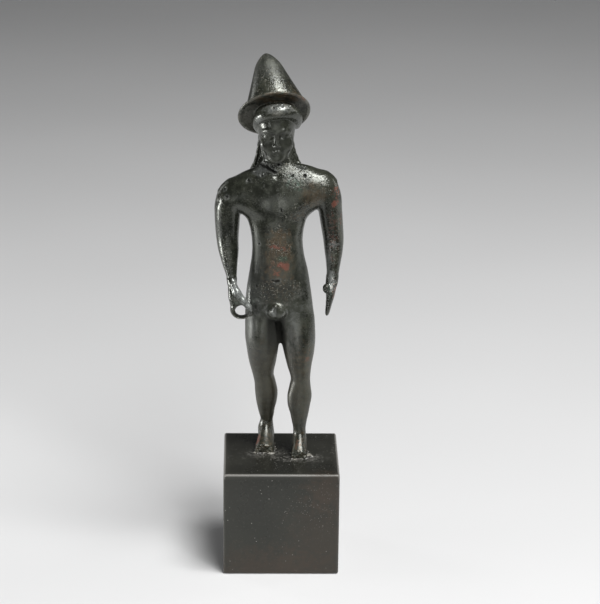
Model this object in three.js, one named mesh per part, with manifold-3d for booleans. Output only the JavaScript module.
// A small solid-cast bronze statuette of a standing youth in a conical hat, set with two dabs of wax on a
// dark block. Millimetres, +Z up, the figure faces -Y. The origin is the centre of the block's underside.
import * as THREE from "three";
import Module from "manifold-3d";

const wasm = await Module();
wasm.setup();

// Driving dimensions of the block and of the wax that the feet stand in.
const BLOCK_WIDTH = 34;
const BLOCK_DEPTH = 34;
const BLOCK_HEIGHT = 31.6;
const BLOCK_BEVEL = 0.5;
const WAX_THICKNESS = 0.35;
const WAX_MARGIN = 0.9;

// The figure's height, from its soles to the tip of its hat, and where it stands on the block.
const FIGURE_HEIGHT = 119;
const FIGURE_SET_BACK = 4;

// The hat is a cone that is tipped back, over a brim that is turned up over the forehead.
const HAT = { x: -4, z: 856, rim: 88, foot: 77, rise: 136, footX: 2, tipX: -21, tipY: 46 };
// The figure is a free form, so its own measures are in parts, counted up from its soles to the hat's tip.
const PART = FIGURE_HEIGHT / (HAT.z + HAT.rise);
const SOLE_LEVEL = BLOCK_HEIGHT + WAX_THICKNESS;

// The stance: the body leans to one side as it rises, and its left shoulder is the higher one.
const STANCE_SHIFT = 5;
const STANCE_LEAN = 0.028;
const SHOULDER_TILT = 0.095;
const TILT_FROM = 560;
const TILT_FULL = 680;

// Stations are level sections: height, centre x, centre y, half width, depth to the front, depth to the back.
const TORSO = [
  [277, 0, 4, 22, 16, 20],
  [292, 0, 4, 54, 31, 36],
  [312, -1, 4, 76, 40, 50],
  [340, -1, 4, 83, 43, 56],
  [372, -2, 4, 83, 44, 56],
  [420, -2, 2, 78, 45, 50],
  [465, -1, -1, 71, 43, 42],
  [510, -2, -3, 63, 40, 37],
  [550, -3, -2, 62, 41, 38],
  [590, -3, 0, 70, 45, 43],
  [630, -2, 1, 86, 49, 48],
  [665, 0, 2, 88, 47, 49],
  [695, 0, 4, 68, 38, 44],
  [718, 0, 6, 48, 30, 38],
  [738, 0, 6, 36, 25, 33],
  [757, 0, 6, 30, 23, 30],
];
// The shoulders run across: x, centre y, centre z, half depth, half height.
const SHOULDERS = [
  [0, 5, 664, 40, 70],
  [30, 5, 664, 41, 68],
  [55, 5, 664, 43, 62],
  [80, 4, 663, 42, 55],
  [100, 4, 663, 39, 46],
  [120, 4, 661, 33, 41],
  [135, 4, 662, 26, 28],
  [144, 4, 664, 15, 14],
];
const RIGHT_LEG = [
  [26, -41, 29, 19, 16, 19],
  [44, -41.5, 29, 19, 16, 19],
  [56, -40, 28, 17, 15, 17],
  [68, -38.5, 26, 15.5, 14, 16],
  [80, -38.5, 24, 18, 16, 19],
  [98, -39, 22, 21.5, 18, 25],
  [120, -38, 20, 26, 21, 32],
  [145, -38, 18, 28, 23, 35],
  [170, -40.5, 16, 26.5, 25, 29],
  [193, -45, 14, 26.5, 28, 26],
  [226, -45.5, 10, 33.5, 34, 32],
  [262, -45, 6, 39, 40, 41],
  [300, -44, 4, 43, 44, 50],
  [340, -40, 4, 43, 40, 54],
  [372, -36, 4, 36, 30, 44],
];
const LEFT_LEG = [
  [30, 42, -25, 15, 14, 16],
  [52, 42, -25, 15, 14, 16],
  [67, 42, -26, 16, 14, 16],
  [83, 42, -25, 19, 16, 19],
  [100, 42.5, -24, 22.5, 18, 25],
  [122, 42, -22, 27.5, 21, 32],
  [146, 44, -20, 30, 23, 35],
  [170, 45.5, -18, 26.5, 25, 29],
  [191, 47, -16, 24, 28, 25],
  [222, 45, -11, 30, 33, 30],
  [262, 44.5, -5, 38.5, 40, 41],
  [300, 43, 0, 43, 44, 50],
  [340, 40, 2, 43, 40, 54],
  [372, 36, 4, 36, 30, 44],
];
const RIGHT_ARM = [
  [436, -115, -25, 10.5, 13, 13],
  [455, -116.2, -19, 12.7, 16, 16],
  [482, -119.5, -8, 18.5, 21, 21],
  [512, -122, 2, 24.5, 26, 25],
  [542, -124, 8, 27, 27, 28],
  [575, -123.5, 7, 29.5, 29, 30],
  [612, -122, 5, 31.5, 32, 32],
  [645, -118, 4, 33.5, 35, 35],
  [672, -110, 4, 32, 34, 34],
  [697, -97, 4, 21, 22, 24],
];
const LEFT_ARM = [
  [436, 126, -26, 13.5, 14, 14],
  [458, 129.5, -18, 14.5, 17, 17],
  [484, 132, -8, 17.5, 21, 21],
  [512, 133.5, 2, 22, 25, 24],
  [542, 133.5, 8, 25, 26, 27],
  [575, 130.5, 7, 27, 28, 29],
  [612, 126.5, 5, 29, 31, 31],
  [645, 121, 4, 32, 34, 34],
  [672, 112, 4, 30, 34, 34],
  [695, 99, 4, 22, 22, 24],
];
const NECK = [
  [700, 0, 8, 30, 22, 28],
  [735, 0, 6, 27, 22, 28],
  [770, 0, 4, 28, 25, 32],
  [815, 0, 4, 34, 32, 38],
];
const HEAD = [
  [753, 0, -30, 17, 17, 20],
  [770, 0, -20, 28, 31, 30],
  [790, 0, -10, 38, 44, 42],
  [812, 0, -3, 44, 53, 52],
  [838, 0, 0, 49, 57, 58],
  [860, 0, 1, 49, 52, 60],
  [878, 0, 4, 40, 38, 52],
  [890, 0, 8, 24, 20, 34],
];
// The features of the face and of the front of the body: centre and radii.
const NOSE = { ends: [[0, -54, 824], [0, -61, 795]], radii: [4, 7.5] };
const BROW = [[20, -46, 825], [17, 7.5, 4.5]];
const EYE = [[19, -46, 812], [11, 7.5, 5]];
const LIPS = [[0, -51, 777], [14, 6, 4.5]];
const CHIN = [[0, -37, 763], [15, 12.5, 12]];
const GROIN = [
  [[-14, -41, 369], [14, 12, 13]],
  [[4, -41, 369], [14, 12, 13]],
  [[-5, -45, 379], [8, 9, 15]],
];
// Long hair lies on the back, in this many locks.
const LOCKS = 5;
const HAIR_FALL = [
  [612, 0, 46, 60, 8, 9],
  [640, 0, 45, 70, 12, 14],
  [680, 0, 42, 72, 16, 18],
  [710, -3, 37, 66, 18, 18],
  [732, -2, 34, 56, 17, 19],
  [755, -2, 32, 49, 18, 20],
  [790, -1, 30, 44, 20, 26],
  [835, 0, 24, 44, 22, 30],
];

// Swells raise or sink the skin: centre x, y, z, reach sideways and in height, and the push outwards.
const TORSO_SWELLS = [
  [-46, -50, 640, 34, 26, 5],
  [46, -50, 640, 34, 26, 5],
  [0, -50, 645, 7, 40, -3],
  [0, -46, 520, 9, 70, -2],
  [0, 46, 560, 9, 90, -4],
  [-40, 62, 352, 32, 34, 9],
  [40, 62, 352, 32, 34, 9],
  [0, 66, 340, 7, 34, -9],
  [-56, -44, 402, 20, 16, -3],
  [52, -44, 402, 20, 16, -3],
];

// Feet: sections from heel to break: centre y, centre x, half width, height of the instep.
const RIGHT_FOOT = [
  [50, -38, 10, 26],
  [46, -38, 15, 40],
  [36, -39, 19, 56],
  [24, -40, 20, 62],
  [10, -41.5, 21, 54],
  [-6, -43.5, 23, 39],
  [-22, -45.5, 24, 28],
  [-35, -46.5, 22, 21],
];
const LEFT_FOOT = [
  [0, 42, 10, 26],
  [-4, 42, 14, 40],
  [-14, 42, 18, 56],
  [-26, 42, 19, 63],
  [-40, 41.5, 19, 54],
  [-54, 40.5, 19.5, 38],
  [-66, 39.5, 19.5, 27],
  [-74, 39, 18, 19],
];

// The right hand closes round a bore, which runs from front to back. Its ring is thickest at the knuckles.
const GRIP = { x: -94, y: -36, z: 373, bore: 15.5, depth: 13, wall: 9, knuckles: 3, worn: 4 };
// The thumb, from the bore's centre: root, joint and tip.
const THUMB = [
  [-14, -5, 54],
  [4, -12, 29],
  [18, -13, 12],
  [23, -11, -7],
];
const THUMB_RADII = [8.5, 7.5, 6.5, 5];
const PALM = [
  [376, -104, -36, 16, 12, 12],
  [390, -105, -36, 17, 14, 14],
  [404, -109, -34, 16, 15, 15],
  [418, -112, -31, 13.5, 14, 14],
  [436, -115, -25, 11, 13.5, 13.5],
  [450, -116, -21, 12, 15, 15],
];
// The left hand points down, and its thumb is a stump: centre, radii and tip.
const THUMB_STUMP = [[113.5, -42, 431], [9, 9, 13], 0.3];
const FINGERS = [
  [361, 113.5, -38, 4, 9, 8],
  [374, 116, -38, 6, 14, 12],
  [390, 119, -37, 7.5, 18, 16],
  [408, 122.5, -35, 10, 19, 18],
  [426, 124.5, -31, 12.5, 18, 17],
  [444, 128, -24, 14, 15, 15],
  [458, 129.5, -18, 14.5, 16.5, 16.5],
];

// How the hat's rings lie: the brim is tilted back most, and they level out towards the tip. All are turned
// a little, and rolled over to the figure's right.
const BRIM_TILT = THREE.MathUtils.degToRad(48);
const CROWN_TILT = THREE.MathUtils.degToRad(20);
const HAT_TURN = THREE.MathUtils.degToRad(5);
const HAT_ROLL = THREE.MathUtils.degToRad(6.5);
const BRIM_THICKNESS = 6;
const BRIM_EDGE = 3;
// The hollow under the brim, as reach from the axis and depth.
const HAT_HOLLOW = [
  [36, 26],
  [56, 20],
  [70, 8],
];
// The cone would come to a point this far above its foot, but it is rounded off from a share of its rise on.
const CONE_RISE = 182;
const ROUND_FROM = 0.76;
const CROWN_SHARES = [0.02, 0.18, 0.38, 0.58, 0.74, 0.84, 0.91, 0.96, 0.987];
// The roll of hair over the forehead, as a tube from temple to temple.
const ROLL = { x: 3, half: 45, front: 47, crown: 872, drop: 40, radius: 18, sweep: 1.75, tilt: 0.1 };

const smooth = (from, to, v) => THREE.MathUtils.smoothstep(v, from, to);

// A point in parts, as carved upright and even, to its place on the block in millimetres.
function placed(x, y, z) {
  const raised = z + SHOULDER_TILT * x * smooth(TILT_FROM, TILT_FULL, z) * (1 - smooth(740, 800, z));
  return new THREE.Vector3(
    (x + STANCE_SHIFT - STANCE_LEAN * z) * PART,
    y * PART + FIGURE_SET_BACK,
    raised * PART + SOLE_LEVEL,
  );
}

// Catmull-Rom through the rows of a table, at any value of its first column.
function rowAt(table, key) {
  const last = table.length - 1;
  let i = 0;
  while (i < last - 1 && (table[i + 1][0] - key) * Math.sign(table[last][0] - table[0][0]) < 0) i += 1;
  const [from, to] = [table[i], table[i + 1]];
  const [before, after] = [table[Math.max(i - 1, 0)], table[Math.min(i + 2, last)]];
  const span = to[0] - from[0];
  const t = (key - from[0]) / span;
  return from.map((value, c) => {
    if (c === 0) return key;
    const slopeIn = ((to[c] - before[c]) / (to[0] - before[0])) * span;
    const slopeOut = ((after[c] - value) / (after[0] - from[0])) * span;
    const [t2, t3] = [t * t, t * t * t];
    return value * (2 * t3 - 3 * t2 + 1) + slopeIn * (t3 - 2 * t2 + t)
      + to[c] * (3 * t2 - 2 * t3) + slopeOut * (t3 - t2);
  });
}

// A closed skin over rings of points. A point at the middle of each end's ring, pushed out by its dome,
// closes it.
function skin(rings, domes = [0, 0]) {
  const count = rings[0].length;
  const middle = (ring) => ring.reduce((sum, p) => sum.add(p), new THREE.Vector3()).divideScalar(count);
  const [firstMiddle, lastMiddle] = [middle(rings[0]), middle(rings.at(-1))];
  const along = lastMiddle.clone().sub(firstMiddle).normalize();
  const points = rings.flat();
  points.push(firstMiddle.clone().addScaledVector(along, -domes[0]));
  points.push(lastMiddle.clone().addScaledVector(along, domes[1]));
  const faces = [];
  rings.slice(1).forEach((ring, r) => {
    for (let s = 0; s < count; s += 1) {
      const [a, b] = [r * count + s, r * count + ((s + 1) % count)];
      faces.push(a, b, b + count, a, b + count, a + count);
    }
  });
  const top = (rings.length - 1) * count;
  for (let s = 0; s < count; s += 1) {
    const next = (s + 1) % count;
    faces.push(next, s, points.length - 2, top + s, top + next, points.length - 1);
  }
  return solid(points, faces);
}

// A ring that closes on the first one makes a hoop with no ends.
function hoop(rings) {
  const count = rings[0].length;
  const faces = [];
  rings.forEach((ring, r) => {
    const after = ((r + 1) % rings.length) * count;
    for (let s = 0; s < count; s += 1) {
      const [a, b] = [r * count + s, r * count + ((s + 1) % count)];
      faces.push(a, b, after + (b % count), a, after + (b % count), after + s);
    }
  });
  return solid(rings.flat(), faces);
}

// A manifold solid from points and triangles, turned inside out where its faces point inwards.
function solid(points, faces) {
  let volume = 0;
  for (let i = 0; i < faces.length; i += 3) {
    const [a, b, c] = [points[faces[i]], points[faces[i + 1]], points[faces[i + 2]]];
    volume += a.dot(b.clone().cross(c));
  }
  const outward = volume > 0 ? faces : faces.toReversed();
  return new wasm.Manifold(
    new wasm.Mesh({
      numProp: 3,
      vertProperties: new Float32Array(points.flatMap((p) => p.toArray())),
      triVerts: new Uint32Array(outward),
    }),
  );
}

// A level ring of a limb or of the trunk, with its swells.
function levelRing(row, sides, fullness, swells) {
  const [z, cx, cy, half, front, back] = row;
  return Array.from({ length: sides }, (_, s) => {
    const turn = (s / sides) * 2 * Math.PI;
    const [c, n] = [Math.cos(turn), Math.sin(turn)];
    const bent = (v) => Math.sign(v) * Math.abs(v) ** (2 / fullness);
    const p = new THREE.Vector3(half * bent(c), (n < 0 ? front : back) * bent(n), 0);
    const outwards = p.clone().normalize();
    p.add(new THREE.Vector3(cx, cy, z));
    for (const [sx, sy, sz, reach, rise, push] of swells) {
      const near = ((p.x - sx) ** 2 + (p.y - sy) ** 2) / reach ** 2 + (p.z - sz) ** 2 / rise ** 2;
      p.addScaledVector(outwards, push * Math.exp(-near));
    }
    return placed(p.x, p.y, p.z);
  });
}

function limb(table, { rings, sides, fullness = 2, domes = [0, 0], swells = [] }) {
  const [low, high] = [table[0][0], table.at(-1)[0]];
  const made = Array.from({ length: rings }, (_, r) =>
    levelRing(rowAt(table, low + ((high - low) * r) / (rings - 1)), sides, fullness, swells),
  );
  return skin(made, domes.map((d) => d * PART));
}

// The shoulders are upright sections, from one side to the other.
function shoulders(sides = 16, half = 7) {
  const rings = Array.from({ length: 2 * half + 1 }, (_, r) => {
    const x = (r / half - 1) * SHOULDERS.at(-1)[0];
    const [, cy, cz, deep, high] = rowAt(SHOULDERS, Math.abs(x));
    return Array.from({ length: sides }, (_s, s) => {
      const turn = (s / sides) * 2 * Math.PI;
      return placed(x, cy + deep * Math.cos(turn), cz + high * Math.sin(turn));
    });
  });
  return skin(rings, [3 * PART, 3 * PART]);
}

// A foot's sections stand upright on a flat sole.
function foot(table, sides = 12, rings = 8) {
  const [heel, front] = [table[0][0], table.at(-1)[0]];
  const made = Array.from({ length: rings }, (_, r) => {
    const [y, cx, half, height] = rowAt(table, heel + ((front - heel) * r) / (rings - 1));
    return Array.from({ length: sides }, (_s, s) => {
      const turn = (s / sides) * 2 * Math.PI;
      const up = Math.sin(turn);
      return placed(cx + half * Math.cos(turn), y, up > 1e-9 ? height * up ** 0.8 : 0);
    });
  });
  return skin(made);
}

// An ellipsoid in parts, turned about the x axis.
function swelling([x, y, z], [rx, ry, rz], tip = 0) {
  const rings = [];
  const [bands, sides] = [6, 10];
  for (let r = 1; r < bands; r += 1) {
    const lat = (r / bands) * Math.PI - Math.PI / 2;
    rings.push(Array.from({ length: sides }, (_, s) => {
      const lon = (s / sides) * 2 * Math.PI;
      const level = [rx * Math.cos(lat) * Math.cos(lon), ry * Math.cos(lat) * Math.sin(lon)];
      const p = new THREE.Vector3(...level, rz * Math.sin(lat));
      p.applyAxisAngle(new THREE.Vector3(1, 0, 0), tip);
      return placed(x + p.x, y + p.y, z + p.z);
    }));
  }
  const end = rz * (1 - Math.cos(Math.PI / bands)) * PART;
  return skin(rings, [end, end]);
}

// A ring of the hat, at a share of the way from its brim to its tip. Its points spread out from the axis,
// starting at the front, and rise off the ring's own plane.
function hatRing(spread, rise, share, sides = 26) {
  const tilt = CROWN_TILT + (BRIM_TILT - CROWN_TILT) * (1 - share) ** 2;
  return Array.from({ length: sides }, (_, s) => {
    const turn = (s / sides) * 2 * Math.PI;
    const p = new THREE.Vector3(spread * Math.sin(turn), -spread * Math.cos(turn), rise);
    p.applyAxisAngle(new THREE.Vector3(1, 0, 0), -tilt);
    p.applyAxisAngle(new THREE.Vector3(0, 0, 1), HAT_TURN);
    p.applyAxisAngle(new THREE.Vector3(0, 1, 0), -HAT_ROLL);
    const x = share > 0 ? THREE.MathUtils.lerp(HAT.footX, HAT.tipX, share) : HAT.x;
    return placed(x + p.x, HAT.tipY * share + p.y, HAT.z + HAT.rise * share + p.z);
  });
}

// The hat, from the middle of its hollow underside out to the brim's edge and up to the tip.
function hat() {
  const rings = [
    ...HAT_HOLLOW.map(([reach, depth]) => hatRing(reach, depth, 0)),
    hatRing(HAT.rim - BRIM_EDGE, -BRIM_THICKNESS / 2, 0),
    hatRing(HAT.rim, 0, 0),
    hatRing(HAT.rim - BRIM_EDGE, BRIM_THICKNESS / 2, 0),
    ...CROWN_SHARES.map((share) => {
      const straight = HAT.foot * (1 - (share * HAT.rise) / CONE_RISE);
      const rounding = Math.sqrt(1 - (Math.max(0, share - ROUND_FROM) / (1 - ROUND_FROM)) ** 2);
      return hatRing(straight * rounding, BRIM_THICKNESS * (1 - share), share);
    }),
  ];
  return skin(rings, [0, PART]);
}

// The thick roll of hair that frames the face, under the hat's lip.
function hairRoll(sides = 9, steps = 16) {
  const rings = Array.from({ length: steps + 1 }, (_, i) => {
    const turn = ((i / steps) * 2 - 1) * ROLL.sweep;
    const out = new THREE.Vector3(Math.sin(turn), -Math.cos(turn), 0);
    const fade = 1 - 0.35 * Math.abs(turn / ROLL.sweep) ** 4;
    const down = ROLL.drop * (1 - Math.cos(turn)) ** 1.2;
    const lift = ROLL.tilt * ROLL.half * out.x - down;
    const centre = [ROLL.x + ROLL.half * out.x, ROLL.front * out.y, ROLL.crown + lift];
    return Array.from({ length: sides }, (_s, s) => {
      const round = (s / sides) * 2 * Math.PI;
      const [c, n] = [Math.cos(round) * ROLL.radius * fade, Math.sin(round) * ROLL.radius * fade];
      return placed(centre[0] + out.x * c, centre[1] + out.y * c, centre[2] + n);
    });
  });
  return skin(rings);
}

// A tapering rod between two points, in parts.
function rod(from, to, startRadius, endRadius, sides = 10) {
  const [a, b] = [new THREE.Vector3(...from), new THREE.Vector3(...to)];
  const along = b.clone().sub(a).normalize();
  const across = Math.abs(along.y) > 0.9 ? new THREE.Vector3(1, 0, 0) : new THREE.Vector3(0, 1, 0);
  const side = across.cross(along).normalize();
  const other = along.clone().cross(side);
  const ring = (centre, radius) =>
    Array.from({ length: sides }, (_, s) => {
      const turn = (s / sides) * 2 * Math.PI;
      const p = centre.clone().addScaledVector(side, radius * Math.cos(turn));
      p.addScaledVector(other, radius * Math.sin(turn));
      return placed(p.x, p.y, p.z);
    });
  return skin([ring(a, startRadius), ring(b, endRadius)], [startRadius * 0.5 * PART, endRadius * 0.5 * PART]);
}

// The curled fingers: a hoop round the bore, thick at the knuckles and thin below.
function grip(steps = 22, sides = 7) {
  return hoop(Array.from({ length: steps }, (_, i) => {
    const turn = (i / steps) * 2 * Math.PI;
    const knuckles = GRIP.knuckles * Math.max(0, -Math.cos(turn));
    const thick = (GRIP.wall + knuckles - GRIP.worn * Math.max(0, -Math.sin(turn))) / 2;
    const reach = GRIP.bore + thick;
    return Array.from({ length: sides }, (_s, s) => {
      const round = (s / sides) * 2 * Math.PI;
      const out = reach + thick * Math.cos(round);
      const [x, z] = [GRIP.x + out * Math.cos(turn), GRIP.z + out * Math.sin(turn)];
      return placed(x, GRIP.y + GRIP.depth * Math.sin(round), z);
    });
  }));
}

function rightHand() {
  const { x, y, z, bore } = GRIP;
  const palm = limb(PALM, { rings: 8, sides: 12, fullness: 2.4 });
  const joints = THUMB.map(([dx, dy, dz]) => [x + dx, y + dy, z + dz]);
  const bones = joints.slice(1).map((to, i) => rod(joints[i], to, THUMB_RADII[i], THUMB_RADII[i + 1], 8));
  const thumb = bones.reduce((whole, bone) => whole.add(bone));
  const through = 2 * GRIP.depth;
  const drilled = rod([x, y - through, z], [x, y + through, z], bore, bore, 24);
  return palm.add(thumb).subtract(drilled).add(grip());
}

function leftHand() {
  return limb(FINGERS, { rings: 9, sides: 12, domes: [3, 0] }).add(swelling(...THUMB_STUMP));
}

// The face is plain and even. Pairs are made on both sides.
function face() {
  const nose = rod(...NOSE.ends, ...NOSE.radii, 8);
  const both = ([[x, y, z], radii]) => [x, -x].map((side) => swelling([side, y, z], radii));
  return [nose, ...both(BROW), ...both(EYE), swelling(...LIPS), swelling(...CHIN)];
}

// The hair on the back: a mass with upright locks on it.
function hairFall() {
  const middle = (LOCKS - 1) / 2;
  const locks = Array.from({ length: LOCKS }, (_, i) => {
    const offset = (i - middle) / LOCKS;
    const rows = HAIR_FALL.map(([z, x, y, half, front, back]) => {
      const middleX = x + 2 * half * offset * 0.96;
      return [z, middleX, y + 3 - 7.5 * Math.abs(offset), half / (LOCKS - 0.4), front, back];
    });
    return limb(rows, { rings: 6, sides: 6, domes: [4, 0] });
  });
  return [limb(HAIR_FALL, { rings: 8, sides: 16, fullness: 2.6, domes: [3, 0] }), ...locks];
}

function bronzeFigure() {
  const pieces = [
    limb(TORSO, { rings: 23, sides: 24, fullness: 2.25, swells: TORSO_SWELLS }),
    shoulders(),
    limb(RIGHT_LEG, { rings: 20, sides: 16 }),
    limb(LEFT_LEG, { rings: 20, sides: 16 }),
    limb(RIGHT_ARM, { rings: 14, sides: 12, domes: [0, 4] }),
    limb(LEFT_ARM, { rings: 14, sides: 12, domes: [0, 4] }),
    foot(RIGHT_FOOT),
    foot(LEFT_FOOT),
    rightHand(),
    leftHand(),
    ...GROIN.map(([centre, radii]) => swelling(centre, radii)),
    limb(NECK, { rings: 5, sides: 14 }),
    limb(HEAD, { rings: 12, sides: 20, domes: [3, 4] }),
    ...face(),
    hairRoll(),
    ...hairFall(),
    hat(),
  ];
  return pieces.reduce((whole, piece) => whole.add(piece));
}

// A wax dab: the sole's outline spread by a margin, flat below on the block and flat above under the foot.
function waxDab(table) {
  const spread = WAX_MARGIN / PART;
  const middle = (table[0][0] + table.at(-1)[0]) / 2;
  const edge = (side) => table.map(([y, x, half], i) => {
    const atEnd = i === 0 || i === table.length - 1;
    const out = atEnd ? spread / 2 : spread;
    const on = atEnd ? Math.sign(y - middle) * spread : 0;
    const p = placed(x + side * (half + out), y + on, 0);
    return new THREE.Vector2(p.x, p.y);
  });
  const outline = new THREE.Shape([...edge(1), ...edge(-1).reverse()]);
  const made = new THREE.ExtrudeGeometry(outline, { depth: WAX_THICKNESS, bevelEnabled: false });
  return made.translate(0, 0, BLOCK_HEIGHT);
}

// The block, with a small bevel all round its top and its upright edges.
function block() {
  const [w, d] = [BLOCK_WIDTH / 2 - BLOCK_BEVEL, BLOCK_DEPTH / 2 - BLOCK_BEVEL];
  const corners = [[-w, -d], [w, -d], [w, d], [-w, d]];
  const inner = new THREE.Shape(corners.map((corner) => new THREE.Vector2(...corner)));
  const made = new THREE.ExtrudeGeometry(inner, {
    depth: BLOCK_HEIGHT - 2 * BLOCK_BEVEL,
    bevelThickness: BLOCK_BEVEL,
    bevelSize: BLOCK_BEVEL,
    bevelSegments: 1,
  });
  return made.translate(0, 0, BLOCK_BEVEL);
}

function geometryOf(manifold) {
  const { vertProperties, triVerts } = manifold.getMesh();
  const made = new THREE.BufferGeometry();
  made.setAttribute("position", new THREE.BufferAttribute(vertProperties, 3));
  made.setIndex(new THREE.BufferAttribute(triVerts, 1));
  return made;
}

function named(name, geometry, material) {
  const mesh = new THREE.Mesh(geometry, material);
  mesh.name = name;
  return mesh;
}

const bronze = new THREE.MeshStandardMaterial({ color: 0x2c2f2c, roughness: 0.36, metalness: 0.85 });
const darkStone = new THREE.MeshStandardMaterial({ color: 0x34332f, roughness: 0.5, metalness: 0 });
const wax = new THREE.MeshStandardMaterial({ color: 0x77756c, roughness: 0.6, metalness: 0 });

const statuette = new THREE.Group();
statuette.add(named("bronze_figure", geometryOf(bronzeFigure()), bronze));
statuette.add(named("display_block", block(), darkStone));
statuette.add(named("setting_wax_right", waxDab(RIGHT_FOOT), wax));
statuette.add(named("setting_wax_left", waxDab(LEFT_FOOT), wax));

export default statuette;
